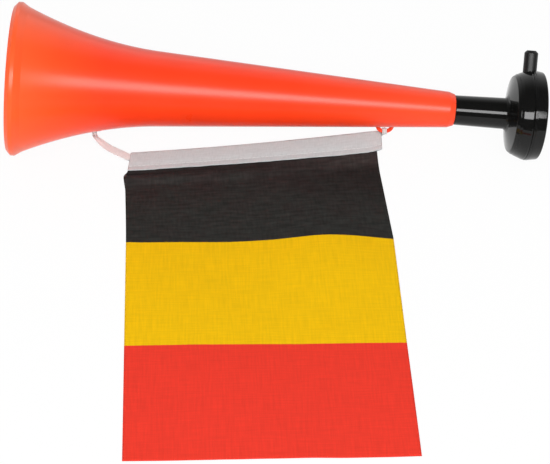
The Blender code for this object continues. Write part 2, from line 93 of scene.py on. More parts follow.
def shader_material(name, color, roughness):
    """A new material, with its node tree and its Principled shader."""
    made = bpy.data.materials.new(name)
    made.use_nodes = True
    tree = made.node_tree
    shader = tree.nodes["Principled BSDF"]
    shader.inputs["Base Color"].default_value = (*color, 1)
    shader.inputs["Roughness"].default_value = roughness
    return made, tree, shader


def worked_out(tree, operation, first, second=None):
    """A number worked out from one or two others, each of them a socket or a plain number."""
    step = tree.nodes.new("ShaderNodeMath")
    step.operation = operation
    for socket, value in zip(step.inputs, (first, second)):
        if isinstance(value, bpy.types.NodeSocket):
            tree.links.new(value, socket)
        elif value is not None:
            socket.default_value = value
    return step.outputs[0]


def respanned(tree, value, low, high, to_low=0.0, to_high=1.0, smooth=False):
    """A number taken from one span to another, and held at the ends."""
    span = tree.nodes.new("ShaderNodeMapRange")
    if smooth:
        span.interpolation_type = "SMOOTHSTEP"
    for name, number in (("From Min", low), ("From Max", high), ("To Min", to_low), ("To Max", to_high)):
        span.inputs[name].default_value = number
    tree.links.new(value, span.inputs["Value"])
    return span.outputs["Result"]


def switched(tree, switch, off, on):
    """The plain number off where a switch is 0, the number of the socket on where it is 1."""
    mix = tree.nodes.new("ShaderNodeMix")
    mix.inputs["A"].default_value = off
    tree.links.new(switch, mix.inputs["Factor"])
    tree.links.new(on, mix.inputs["B"])
    return mix.outputs["Result"]


def seen_directly(tree, path):
    """1 for the camera's rays, for reflections and for what shows through clear pieces, or else 0."""
    bounced = worked_out(tree, "MAXIMUM", path.outputs["Is Glossy Ray"],
                         path.outputs["Is Transmission Ray"])
    return worked_out(tree, "MAXIMUM", path.outputs["Is Camera Ray"], bounced)


def soft_lamp(name, size, power, place, gleams):
    """A flat lamp that either lights what it faces, or shows only as a gleam in it."""
    lamp = bpy.data.lights.new(name, "AREA")
    lamp.shape = "RECTANGLE"
    lamp.size, lamp.size_y = size
    lamp.energy = power
    lamp.cycles.use_multiple_importance_sampling = gleams
    softbox = bpy.data.objects.new(name, lamp)
    softbox.matrix_world = place
    softbox.visible_glossy = gleams
    softbox.visible_diffuse = not gleams
    bpy.context.scene.collection.objects.link(softbox)
    return softbox


table_bm = bmesh.new()
bmesh.ops.create_grid(table_bm, x_segments=1, y_segments=1, size=TABLE_SIZE / 2)
table_mesh = bpy.data.meshes.new("table_top")
table_bm.to_mesh(table_mesh)
table_bm.free()
table = bpy.data.objects.new("table_top", table_mesh)
bpy.context.scene.collection.objects.link(table)
table_white, table_tree, table_shader = shader_material("table_white", (TABLE_WHITE,) * 3, TABLE_ROUGHNESS)
table_shader.inputs["Specular IOR Level"].default_value = 0.0
glow = table_tree.nodes.new("ShaderNodeEmission")
glow_mix = table_tree.nodes.new("ShaderNodeMixShader")
table_seen = seen_directly(table_tree, table_tree.nodes.new("ShaderNodeLightPath"))
table_tree.links.new(worked_out(table_tree, "MULTIPLY", table_seen, TABLE_GLOW), glow_mix.inputs["Fac"])
table_tree.links.new(table_shader.outputs[0], glow_mix.inputs[1])
table_tree.links.new(glow.outputs[0], glow_mix.inputs[2])
table_tree.links.new(glow_mix.outputs[0], table_tree.nodes["Material Output"].inputs["Surface"])
table_mesh.materials.append(table_white)

world = bpy.data.worlds.new("pale_studio")
world.use_nodes = True
bpy.context.scene.world = world
sky = world.node_tree
white_air = sky.nodes["Background"]
white_air.inputs["Color"].default_value = (1, 1, 1, 1)
air_place = sky.nodes.new("ShaderNodeTexCoord")
toward_front = sky.nodes.new("ShaderNodeVectorMath")
toward_front.operation = "DOT_PRODUCT"
toward_front.inputs[1].default_value = (0, -math.cos(VIEW_DOWN), math.sin(VIEW_DOWN))
sky.links.new(air_place.outputs["Generated"], toward_front.inputs[0])
dim_front = respanned(sky, toward_front.outputs["Value"], -DIM_EDGE, DIM_EDGE, 1.0, DIM_REFLECTION,
                      smooth=True)
air_path = sky.nodes.new("ShaderNodeLightPath")
reflected = switched(sky, air_path.outputs["Is Glossy Ray"], 1.0, dim_front)
air_level = switched(sky, seen_directly(sky, air_path), AMBIENT, reflected)
sky.links.new(air_level, white_air.inputs["Strength"])

at_camera = Matrix.Translation(-ahead * LAMPS_BEHIND) @ camera.matrix_world
aside = Matrix.Translation((STRIP_ASIDE, 0, 0))
facing_horn = PANEL_CENTER.to_track_quat("Z", "X").to_matrix().to_4x4() @ Matrix.Rotation(math.pi / 2, 4, "Z")
soft_lamp("key_softbox", KEY_SIZE, KEY_POWER, at_camera, gleams=False)
soft_lamp("gloss_strip", STRIP_SIZE, STRIP_POWER, at_camera @ aside, gleams=True)
back_panel = soft_lamp("back_panel", PANEL_SIZE, PANEL_POWER,
                       Matrix.Translation(PANEL_CENTER) @ facing_horn, gleams=True)
panel_lights = bpy.data.collections.new("panel_lights")
back_panel.light_linking.receiver_collection = panel_lights

# Tie ribbon: a narrow white woven tape. It is knotted round the left lug's bar, hangs slack, runs through
# the sleeve and is knotted round the right lug's bar. It is bunched together where it is tied.
FRONT_BAR = Vector((-0.125200, 0.110151, 0.01162))
FRONT_WAY = Vector((0, -0.62, -0.78))
REAR_BAR = Vector((0.076400, 0.112300, 0.015291))
REAR_WAY = Vector((0, 0.78, -0.62))
LUG_ROD = 0.0028
FOLD_LEFT = Vector((-0.099195, 0.093264, 0.005941))
FOLD_RIGHT = Vector((0.074524, 0.115588, 0.012971))
SLEEVE_WIDTH = 0.0156
SLEEVE_LOW_LEFT = 0.0024
SLEEVE_LOW_GAIN = 0.0026
SLEEVE_SPREAD = 0.10
SLEEVE_END_START = 0.94
SLEEVE_END_PULL = 0.14
SLEEVE_END_SAG = 0.0005
RIBBON_WIDTH = 0.0054
RIBBON_PLY = 0.00034
RIBBON_CROWN = 0.00012
RIBBON_STEP = 0.0007
RIBBON_ACROSS = 14
BUNCHED_WIDTH = 0.0030
BUNCHED_DEPTH = 0.0009
ROOM = 0.0003
LOOP_START = math.radians(-75)
LOOP_TURN = math.radians(210)
LOOP_STEPS = 8
STRAND_SHARE = 0.7
FRONT_TAIL = 0.0045
REAR_TAIL = 0.002025
# Each row of the slack stretch is x, y, z and how far the tape is bunched. Each row of the stretch inside
# the sleeve is the share of the sleeve's length, how far the tape is bunched, and its depth below the fold.
SLACK_STATIONS = ((-0.12390, 0.10480, 0.0092, 0.85), (-0.12069, 0.10197, 0.0078, 0.45),
                  (-0.11491, 0.09760, 0.0063, 0.1), (-0.10886, 0.09434, 0.0055, 0),
                  (-0.10387, 0.09170, 0.0052, 0))
RIBBON_DEPTH = 0.0038
SLEEVE_STATIONS = [(u, 0, RIBBON_DEPTH) for u in (0.0, 0.05, 0.25, 0.5, 0.75, 0.93)]
SLEEVE_STATIONS += [(0.975, 0.4, 0.0031), (1.0, 0.85, 0.0024)]
BEND_DEPTH = 0.0021
BEND_OUT = Vector((0.0011, 0.0001, 0.0006))
RIBBON_WHITE = (0.72, 0.73, 0.72)
TAPE_ROUGHNESS = 0.78


def end_pull(u):
    """How far the ribbon's knot gathers the sleeve, from 0 along most of it to 1 at its right end."""
    return max(0.0, (u - SLEEVE_END_START) / (1 - SLEEVE_END_START)) ** 1.5


def fold_line(u):
    """The sleeve's upper edge, from its left end at 0 to its right end at 1."""
    level = FOLD_LEFT.lerp(FOLD_RIGHT, u)
    rise = FOLD_LEFT.z + (FOLD_RIGHT.z - FOLD_LEFT.z) * u * u
    return Vector((level.x, level.y, rise - SLEEVE_END_SAG * end_pull(u)))


def sleeve_down(u):
    """The way from the sleeve's fold to its lower edge."""
    slope = math.asin((fold_line(u).z - SLEEVE_LOW_LEFT - SLEEVE_LOW_GAIN * u * u) / SLEEVE_WIDTH)
    way = Vector((SLEEVE_SPREAD * (1.5 * u - 1), -math.cos(slope), -math.sin(slope)))
    return way * (1 - SLEEVE_END_PULL * end_pull(u))


def sleeve_normal(u):
    """The way that the sleeve's front faces."""
    down = sleeve_down(u)
    return Vector((0, down.z, -down.y)).normalized()


def station(place, normal, bunched):
    """A place on the ribbon, the way its face looks there, and how far it is bunched together."""
    return Vector((*place, *normal, bunched))


def tied_loop(bar, way, tail, hand=1):
    """Stations round a lug's bar, from the cut end round to the strand that leaves along way."""
    loop_radius = LUG_ROD / 2 + ROOM + BUNCHED_DEPTH / 2
    spacing = BUNCHED_DEPTH / 2 + ROOM
    side = Vector((0, way.z, -way.y)) * hand
    stations = [station(bar + way * tail - side * spacing, -side, 1)]
    for k in range(LOOP_STEPS + 1):
        angle = LOOP_START - LOOP_TURN * k / LOOP_STEPS
        face = way * math.cos(angle) + side * math.sin(angle)
        stations.append(station(bar + loop_radius * face, face, 1))
    stations.append(station(bar + way * tail * STRAND_SHARE + side * spacing, side, 1))
    return stations


def in_sleeve(u, bunched, depth):
    """A station inside the sleeve, at a depth below its fold."""
    return station(fold_line(u) + sleeve_down(u) * depth, sleeve_normal(u), bunched)


def smooth_stations(points, step, between=24):
    """A smooth curve through the stations, with an even step along their places."""
    fine = []
    padded = [2 * points[0] - points[1], *points, 2 * points[-1] - points[-2]]
    for p0, p1, p2, p3 in zip(padded, padded[1:], padded[2:], padded[3:]):
        for k in range(between):
            t = k / between
            fine.append(0.5 * (2 * p1 + (p2 - p0) * t + (2 * p0 - 5 * p1 + 4 * p2 - p3) * t * t
                               + (3 * p1 - p0 - 3 * p2 + p3) * t ** 3))
    fine.append(points[-1].copy())
    walked = [0.0]
    for a, b in zip(fine, fine[1:]):
        walked.append(walked[-1] + (Vector(b[:3]) - Vector(a[:3])).length)
    count = round(walked[-1] / step)
    even = []
    k = 0
    for j in range(count + 1):
        target = walked[-1] * j / count
        while k < len(fine) - 2 and walked[k + 1] < target:
            k += 1
        share = (target - walked[k]) / max(walked[k + 1] - walked[k], 1e-9)
        even.append(fine[k].lerp(fine[k + 1], min(1.0, share)))
    return even


def place_grid(x_cells, y_cells, place, uv_place):
    """A grid whose points go where place(u, v) says, u and v from 0 to 1, with a map in metres."""
    bm = bmesh.new()
    bmesh.ops.create_grid(bm, x_segments=x_cells, y_segments=y_cells, size=0.5)
    layer = bm.loops.layers.uv.new("cloth_map")
    for face in bm.faces:
        for loop in face.loops:
            loop[layer].uv = uv_place(loop.vert.co.x + 0.5, loop.vert.co.y + 0.5)
    for vert in bm.verts:
        vert.co = place(vert.co.x + 0.5, vert.co.y + 0.5)
    return bm


def new_piece(name, bm, materials, sharp=180):
    """An object from a bmesh, smooth except at edges sharper than an angle in degrees."""
    mesh = bpy.data.meshes.new(name)
    bm.to_mesh(mesh)
    bm.free()
    mesh.shade_smooth()
    if sharp < 180:
        mesh.set_sharp_from_angle(angle=math.radians(sharp))
    for made in materials:
        mesh.materials.append(made)
    piece = bpy.data.objects.new(name, mesh)
    bpy.context.scene.collection.objects.link(piece)
    return piece


def give_thickness(piece, thickness):
    """Thickens a sheet evenly on both sides."""
    solid = piece.modifiers.new("ply", "SOLIDIFY")
    solid.thickness = thickness
    solid.offset = 0


def raised(tree, shader, height, strength, depth):
    """Makes a surface rise and fall with a height."""
    bump = tree.nodes.new("ShaderNodeBump")
    bump.inputs["Strength"].default_value = strength
    bump.inputs["Distance"].default_value = depth
    tree.links.new(height, bump.inputs["Height"])
    tree.links.new(bump.outputs["Normal"], shader.inputs["Normal"])


def clouded(tree, place, scale, detail):
    """A soft uneven pattern, as a number about 0.5."""
    cloud = tree.nodes.new("ShaderNodeTexNoise")
    cloud.inputs["Scale"].default_value = scale
    cloud.inputs["Detail"].default_value = detail
    tree.links.new(place, cloud.inputs["Vector"])
    return cloud.outputs[0]


def woven_relief(tree, shader, warp_pitch, weft_pitch, strength, depth):
    """Over-and-under relief of a plain weave, on the piece's map in metres, which it returns."""
    place = tree.nodes.new("ShaderNodeUVMap")
    place.uv_map = "cloth_map"
    split = tree.nodes.new("ShaderNodeSeparateXYZ")
    tree.links.new(place.outputs["UV"], split.inputs[0])
    waves = [worked_out(tree, "SINE", worked_out(tree, "MULTIPLY", split.outputs[axis], math.pi / pitch))
             for axis, pitch in (("X", warp_pitch), ("Y", weft_pitch))]
    raised(tree, shader, worked_out(tree, "MULTIPLY", *waves), strength, depth)
    return place


def streaks(tree, place, to_the_metre, low, high):
    """Uneven streaks along the threads, from low to high, with so many to the metre of the map each way."""
    stretch = tree.nodes.new("ShaderNodeMapping")
    stretch.inputs["Scale"].default_value = to_the_metre
    tree.links.new(place.outputs[0], stretch.inputs["Vector"])
    cloud = clouded(tree, stretch.outputs[0], scale=1, detail=3)
    return respanned(tree, cloud, 0.3, 0.7, low, high)


def scaled_color(tree, color_socket, factor_socket):
    """A colour made lighter or darker by a number."""
    scaled = tree.nodes.new("ShaderNodeVectorMath")
    scaled.operation = "SCALE"
    tree.links.new(color_socket, scaled.inputs[0])
    tree.links.new(factor_socket, scaled.inputs["Scale"])
    return scaled.outputs[0]


def plain_color(tree, color):
    """A plain colour, to be mixed or shaded."""
    made = tree.nodes.new("ShaderNodeRGB")
    made.outputs[0].default_value = (*color, 1)
    return made.outputs[0]


def woven_tape(name, color, warp_pitch, weft_pitch, strength):
    """Plain white cotton tape: fine ribs across it, uneven threads and a soft sheen."""
    made, tree, shader = shader_material(name, color, TAPE_ROUGHNESS)
    place = woven_relief(tree, shader, warp_pitch, weft_pitch, strength, depth=0.00008)
    thread_shade = streaks(tree, place, (1500, 260, 1), 0.93, 1.04)
    blotches = streaks(tree, place, (140, 900, 1), 0.95, 1.04)
    shaded = scaled_color(tree, plain_color(tree, color), thread_shade)
    tree.links.new(scaled_color(tree, shaded, blotches), shader.inputs["Base Color"])
    shader.inputs["Sheen Weight"].default_value = 0.10
    shader.inputs["Specular IOR Level"].default_value = 0.15
    return made


ribbon_white = woven_tape("ribbon_white", RIBBON_WHITE, warp_pitch=0.00090, weft_pitch=0.00036, strength=0.6)
route = tied_loop(FRONT_BAR, FRONT_WAY, FRONT_TAIL)
route += [station(Vector((x, y, z)), sleeve_normal(0), bunched) for x, y, z, bunched in SLACK_STATIONS]
route += [in_sleeve(u, bunched, depth) for u, bunched, depth in SLEEVE_STATIONS]
route.append(station(fold_line(1) + sleeve_down(1) * BEND_DEPTH + BEND_OUT, sleeve_normal(1), 1))
route += reversed(tied_loop(REAR_BAR, REAR_WAY, REAR_TAIL, hand=-1))
ribbon_line = smooth_stations(route, RIBBON_STEP)
ribbon_run = sum((Vector(b[:3]) - Vector(a[:3])).length for a, b in zip(ribbon_line, ribbon_line[1:]))


def on_ribbon(u, v):
    """A point of the tape. Where it is bunched, its width is crimped into a shallow W."""
    k = round(u * (len(ribbon_line) - 1))
    here = ribbon_line[k]
    way = Vector(ribbon_line[min(k + 1, len(ribbon_line) - 1)][:3]) - Vector(ribbon_line[max(k - 1, 0)][:3])
    across = Vector(here[3:6]).cross(way).normalized()
    face = way.cross(across).normalized()
    bunched = here[6]
    width = RIBBON_WIDTH + (BUNCHED_WIDTH - RIBBON_WIDTH) * bunched
    crimp = (BUNCHED_DEPTH - RIBBON_PLY) / 2 * bunched * math.cos(3 * math.pi * (v - 0.5))
    crown = RIBBON_CROWN * (1 - bunched) * math.cos(math.pi * (v - 0.5))
    return Vector(here[:3]) + across * width * (v - 0.5) + face * (crimp + crown)


ribbon_bm = place_grid(len(ribbon_line) - 1, RIBBON_ACROSS, on_ribbon,
                       lambda u, v: (u * ribbon_run, v * RIBBON_WIDTH))
ribbon = new_piece("ribbon_tape", ribbon_bm, [ribbon_white])
give_thickness(ribbon, RIBBON_PLY)
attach(ribbon, "flag")
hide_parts("tie_ribbon")

# Bell: one thin orange moulding, a long straight cone that flares to a wide mouth with a thick rounded
# lip. Its neck ends in a chamfer, and the stem of the mouthpiece is pushed into it.
MOUTH_CENTER = Vector((-0.18162, 0.115284, 0.0514892))
TILT = math.radians(3.296233)
MOUTH_LIFT = Vector((0, -0.0009, 0.0009))
LIP_RADIUS = 0.05215
LIP_FRONT = 0.0010
LIP_CHAMFER = 0.0037
LIP_CREST = 0.0026
LIP_BACK = 0.0110
LIP_FACE_RADIUS = 0.0492
FLARE_LENGTH = 0.100
FLARE_RISE = 0.0219
FLARE_POWER = 1.96
CONE_RADIUS = 0.0257
NECK_RADIUS = 0.0123
NECK_CHAMFER = 0.0040
NECK_END_RADIUS = 0.0109
BELL_LENGTH = 0.305
BELL_WALL = 0.0020
MOUTH_WALL = 0.0021
SOCKET_DEPTH = 0.024
SOCKET_RADIUS = 0.0092
TURNED_STEPS = 144
FLARE_STEPS = 44
FLARE_SPAN = 1.05
FILLET_SHARE = 0.42
FILLET_FLAT = 1.15
ORANGE = (0.96, 0.050, 0.010)
# The paler oranges below are painted light: a glow at the lip and the flare, and a haze at the neck.
LIP_PAINTED_GLOW = (0.96, 0.112, 0.025)
FLARE_PAINTED_GLOW = (0.96, 0.080, 0.015)
NECK_PAINTED_HAZE = (0.96, 0.070, 0.021)
ORANGE_WITH_PAINTED_LIGHT = ((-0.176, LIP_PAINTED_GLOW), (-0.148, FLARE_PAINTED_GLOW), (-0.115, ORANGE), (0.010, ORANGE),
                (0.100, NECK_PAINTED_HAZE))
HORN_LINE = Matrix.Translation(MOUTH_CENTER) @ Matrix.Rotation(TILT, 4, "Y")
neck_end = HORN_LINE @ Vector((BELL_LENGTH, 0, 0))
bell_way = neck_end - MOUTH_CENTER
lifting = bell_way.rotation_difference(bell_way - MOUTH_LIFT).to_matrix().to_4x4()
BELL_LINE = Matrix.Translation(neck_end) @ lifting @ Matrix.Translation(-neck_end) @ HORN_LINE
neck_s = BELL_LENGTH - NECK_CHAMFER
taper = (CONE_RADIUS - NECK_RADIUS) / (neck_s - FLARE_LENGTH)


def bell_radius(s):
    """Outside radius of the bell behind its lip: a straight cone with a flare added towards the mouth."""
    return NECK_RADIUS + taper * (neck_s - s) + FLARE_RISE * max(0.0, 1 - s / FLARE_LENGTH) ** FLARE_POWER


def rounded(corners, steps=5):
    """A closed outline through (s, r, fillet) corners, with each corner that has a fillet rounded.

    A short flat beside each fillet keeps the faces next to it flat in their shading.
    """
    outline = []
    for k, (s, r, fillet) in enumerate(corners):
        here = Vector((s, r))
        before = Vector(corners[k - 1][:2]) - here
        after = Vector(corners[(k + 1) % len(corners)][:2]) - here
        if fillet == 0:
            outline.append(here)
            continue
        reach = min(fillet / math.tan(before.angle(after) / 2), FILLET_SHARE * before.length,
                    FILLET_SHARE * after.length)
        start = here + before.normalized() * reach
        end = here + after.normalized() * reach
        outline.append(here + before.normalized() * reach * FILLET_FLAT)
        for j in range(steps + 1):
            t = j / steps
            outline.append(start.lerp(here, t).lerp(here.lerp(end, t), t))
        outline.append(here + after.normalized() * reach * FILLET_FLAT)
    return outline


def turned(outline, steps=TURNED_STEPS):
    """Spins a closed outline of (s, r) points about the X axis."""
    bm = bmesh.new()
    verts = [bm.verts.new((s, r, 0)) for s, r in outline]
    edges = [bm.edges.new(pair) for pair in zip(verts, verts[1:] + verts[:1])]
    bmesh.ops.spin(bm, geom=verts + edges, cent=(0, 0, 0), axis=(1, 0, 0), angle=math.tau, steps=steps,
                   use_merge=True, use_duplicate=False)
    bmesh.ops.remove_doubles(bm, verts=bm.verts, dist=1e-7)
    bmesh.ops.recalc_face_normals(bm, faces=bm.faces)
    return bm


def mixed_color(tree, factor, low, high):
    """The colour low where a factor is 0, the colour high where it is 1."""
    made = tree.nodes.new("ShaderNodeMix")
    made.data_type = "RGBA"
    tree.links.new(factor, made.inputs["Factor"])
    tree.links.new(low, made.inputs["A"])
    tree.links.new(high, made.inputs["B"])
    return made.outputs["Result"]


def color_rows(tree, value, rows, easing="LINEAR"):
    """A colour that follows a value through rows of (value, colour)."""
    first = rows[0][0]
    last = rows[-1][0]
    ramp = tree.nodes.new("ShaderNodeValToRGB")
    ramp.color_ramp.interpolation = easing
    stops = ramp.color_ramp.elements
    for k, (at, color) in enumerate(rows):
        if 0 < k < len(rows) - 1:
            stop = stops.new((at - first) / (last - first))
        else:
            stop = stops[0 if k == 0 else -1]
        stop.color = (*color, 1)
    tree.links.new(respanned(tree, value, first, last), ramp.inputs["Fac"])
    return ramp.outputs["Color"]


def moulded_plastic(name, color, roughness, spread, peel, specular, along=None):
    """Moulded plastic: a faint orange-peel surface, cloudy gloss, and a slight change of shade.

    Rows of (x, colour) add painted light along the horn: a paler glow at lip and flare, a haze at the neck.
    """
    made, tree, shader = shader_material(name, color, roughness)
    shader.inputs["Specular IOR Level"].default_value = specular
    place = tree.nodes.new("ShaderNodeTexCoord")
    if along:
        apart = tree.nodes.new("ShaderNodeSeparateXYZ")
        tree.links.new(place.outputs["Object"], apart.inputs[0])
        pigment_and_painted_light = color_rows(tree, apart.outputs["X"], along)
    else:
        pigment_and_painted_light = plain_color(tree, color)
    clouds = clouded(tree, place.outputs["Object"], scale=38, detail=4)
    gloss = respanned(tree, clouds, 0, 1, roughness - spread, roughness + spread)
    tree.links.new(gloss, shader.inputs["Roughness"])
    shaded = scaled_color(tree, pigment_and_painted_light, respanned(tree, clouds, 0, 1, 0.95, 1.05))
    tree.links.new(shaded, shader.inputs["Base Color"])
    skin = clouded(tree, place.outputs["Object"], scale=900, detail=2)
    raised(tree, shader, skin, peel, depth=0.0001)
    return made


# Its colour rows paint a paler glow of light at the lip and the flare, and a haze at the neck.
orange_plastic = moulded_plastic("orange_plastic", ORANGE, roughness=0.29, spread=0.03, peel=0.08,
                                 specular=0.20, along=ORANGE_WITH_PAINTED_LIGHT)
socket_s = BELL_LENGTH - SOCKET_DEPTH
throat_s = socket_s - SOCKET_DEPTH / 5
flare_places = [LIP_BACK + (FLARE_LENGTH * FLARE_SPAN - LIP_BACK) * k / FLARE_STEPS
                for k in range(1, FLARE_STEPS + 1)]
bell_corners = [(LIP_FRONT, LIP_FACE_RADIUS, 0.0005), (LIP_CHAMFER, LIP_RADIUS, 0.0011),
                (LIP_CHAMFER + LIP_CREST, LIP_RADIUS, 0.0012), (LIP_BACK, bell_radius(LIP_BACK), 0.0014)]
bell_corners += [(s, bell_radius(s), 0) for s in flare_places]
bell_corners += [(neck_s, NECK_RADIUS, 0.0006), (BELL_LENGTH, NECK_END_RADIUS, 0.0003),
                 (BELL_LENGTH, SOCKET_RADIUS, 0.0003), (socket_s, SOCKET_RADIUS, 0),
                 (throat_s, bell_radius(throat_s) - BELL_WALL, 0)]
bell_corners += [(s, bell_radius(s) - BELL_WALL, 0) for s in reversed(flare_places)]
bell_corners += [(LIP_FRONT, LIP_FACE_RADIUS - MOUTH_WALL, 0.0008)]
bell_bm = turned(rounded(bell_corners))
bell_bm.transform(BELL_LINE)
bell = new_piece("bell_moulding", bell_bm, [orange_plastic], sharp=50)
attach(bell, "horn")
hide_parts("bell")
panel_lights.objects.link(bell)

# Lugs: two small belt loops on the bell's underside, moulded in one with it. Each is a round rod bent
# into an arch, with its legs widened where they grow out of the wall.
LUG_ANGLE = math.radians(-98)
LUG_SPAN = 0.0100
LUG_CORNER = 0.0046
LUG_SINK = 0.0017
LUG_SIDES = 24
ROOT_FLARE = 1.55
LEG_PLACES = (0, 0.3, 0.55, 0.8)
CORNER_STEPS = 9
FRONT_LUG_S = 0.0605
FRONT_LUG_OUT = 0.036788
REAR_LUG_S = 0.2598
REAR_LUG_OUT = 0.021525
lug_way = Vector((0, math.cos(LUG_ANGLE), math.sin(LUG_ANGLE)))
front_middle = Vector((FRONT_LUG_S, 0, 0)) + lug_way * FRONT_LUG_OUT
rear_middle = Vector((REAR_LUG_S, 0, 0)) + lug_way * REAR_LUG_OUT
bar_line = (rear_middle - front_middle).normalized()
lug_out = (lug_way - bar_line * lug_way.dot(bar_line)).normalized()


def swept(bm, route, radii, across, sides):
    """Sweeps a round ring along a route that lies in one plane, with across square to that plane."""
    ring = bmesh.ops.create_circle(bm, cap_ends=True, segments=sides, radius=1)["verts"]
    before = Matrix.Identity(4)
    for k, (point, radius) in enumerate(zip(route, radii)):
        way = (route[min(k + 1, len(route) - 1)] - route[max(k - 1, 0)]).normalized()
        axes = Matrix((across, way.cross(across), way)).transposed().to_4x4()
        there = Matrix.Translation(point) @ axes @ Matrix.Scale(radius, 4)
        if k > 0:
            edges = [e for e in {e for v in ring for e in v.link_edges} if all(v in ring for v in e.verts)]
            grown = bmesh.ops.extrude_edge_only(bm, edges=edges)["geom"]
            ring = [g for g in grown if isinstance(g, bmesh.types.BMVert)]
        bmesh.ops.transform(bm, matrix=there @ before.inverted(), verts=ring)
        before = there
    bmesh.ops.contextual_create(bm, geom=[e for e in {e for v in ring for e in v.link_edges}
                                          if all(v in ring for v in e.verts)])


def lug_arch(middle):
    """The arch's centre line and its radius along it, from one root over the bar to the other."""
    arch = []
    for side in (-1, 1):
        top = middle + bar_line * side * LUG_SPAN / 2
        depth = Vector((0, top.y, top.z)).length - bell_radius(top.x) + LUG_SINK
        straight = depth - LUG_CORNER
        half = [(top - lug_out * (depth - straight * q), ROOT_FLARE - (ROOT_FLARE - 1) * q ** 0.6)
                for q in LEG_PLACES]
        turn = middle + bar_line * side * (LUG_SPAN / 2 - LUG_CORNER) - lug_out * LUG_CORNER
        for k in range(CORNER_STEPS + 1):
            angle = math.pi / 2 * k / CORNER_STEPS
            way = bar_line * side * math.cos(angle) + lug_out * math.sin(angle)
            half.append((turn + LUG_CORNER * way, 1.0))
        arch += half if side < 0 else reversed(half)
    return arch


lug_bm = bmesh.new()
for middle in (front_middle, rear_middle):
    arch_line = lug_arch(middle)
    swept(lug_bm, [p for p, _ in arch_line], [LUG_ROD / 2 * share for _, share in arch_line],
          bar_line.cross(lug_out), LUG_SIDES)
bmesh.ops.recalc_face_normals(lug_bm, faces=lug_bm.faces)
lug_bm.transform(HORN_LINE)
lugs = new_piece("bell_lugs", lug_bm, [orange_plastic], sharp=60)
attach(lugs, "horn")
panel_lights.objects.link(lugs)

# Mouthpiece: one glossy black moulding. Its stem plugs into the neck, and behind the stem it widens into
# the cone-backed rear shell of the round housing, with fine grooves and a spigot for the cap.
PLUG_RADIUS = 0.0089
PLUG_LENGTH = 0.027
STEM_RADIUS_FRONT = 0.0102
STEM_RADIUS_REAR = 0.0108
STEM_END = 0.3405
STEM_BORE = 0.0070
HOUSING_BACK = 0.3452
BAND_START = 0.3491
SEAM = 0.3559
SEAM_RADIUS = 0.0310
BACK_RADIUS = 0.0263
BAND_START_RADIUS = 0.0286
SPIGOT_RADIUS = 0.0283
SPIGOT_LENGTH = 0.0054
CHAMBER_RADIUS = 0.0261
GROOVE = 0.0002
PIPE_ANGLE = math.radians(52)
PIPE_S = 0.3557
PIPE_RADIUS = 0.00475
PIPE_ROOT = 0.0248
PIPE_TIP = 0.0446
HOLE_ROOM = 0.00008
DRILL_LENGTH = 0.02
DRILL_PLACE = 0.009
BLACK = (0.0064, 0.0064, 0.0062)

black_plastic = moulded_plastic("black_plastic", BLACK, roughness=0.07, spread=0.02, peel=0.03,
                                specular=0.24)
pipe_way = Vector((0, math.cos(PIPE_ANGLE), math.sin(PIPE_ANGLE)))
PIPE_LINE = (HORN_LINE @ Matrix.Translation((PIPE_S, 0, 0))
             @ Vector((1, 0, 0)).rotation_difference(pipe_way).to_matrix().to_4x4())


def cut_pipe_hole(piece):
    """Cuts the round hole that the blow pipe sits in, straight through the shell's rim."""
    drill_bm = bmesh.new()
    bmesh.ops.create_cone(drill_bm, cap_ends=True, segments=64, radius1=PIPE_RADIUS + HOLE_ROOM,
                          radius2=PIPE_RADIUS + HOLE_ROOM, depth=DRILL_LENGTH,
                          matrix=PIPE_LINE @ Matrix.Translation((PIPE_ROOT + DRILL_PLACE, 0, 0))
                          @ Matrix.Rotation(math.pi / 2, 4, "Y"))
    drill = new_piece("pipe_drill", drill_bm, [])
    cut = piece.modifiers.new("pipe_hole", "BOOLEAN")
    cut.operation = "DIFFERENCE"
    cut.solver = "EXACT"
    cut.object = drill
    bpy.context.view_layer.update()
    drilled = bpy.data.meshes.new_from_object(piece.evaluated_get(bpy.context.evaluated_depsgraph_get()))
    piece.modifiers.remove(cut)
    piece.data = drilled
    bpy.data.objects.remove(drill)
    drilled.set_sharp_from_angle(angle=math.radians(40))


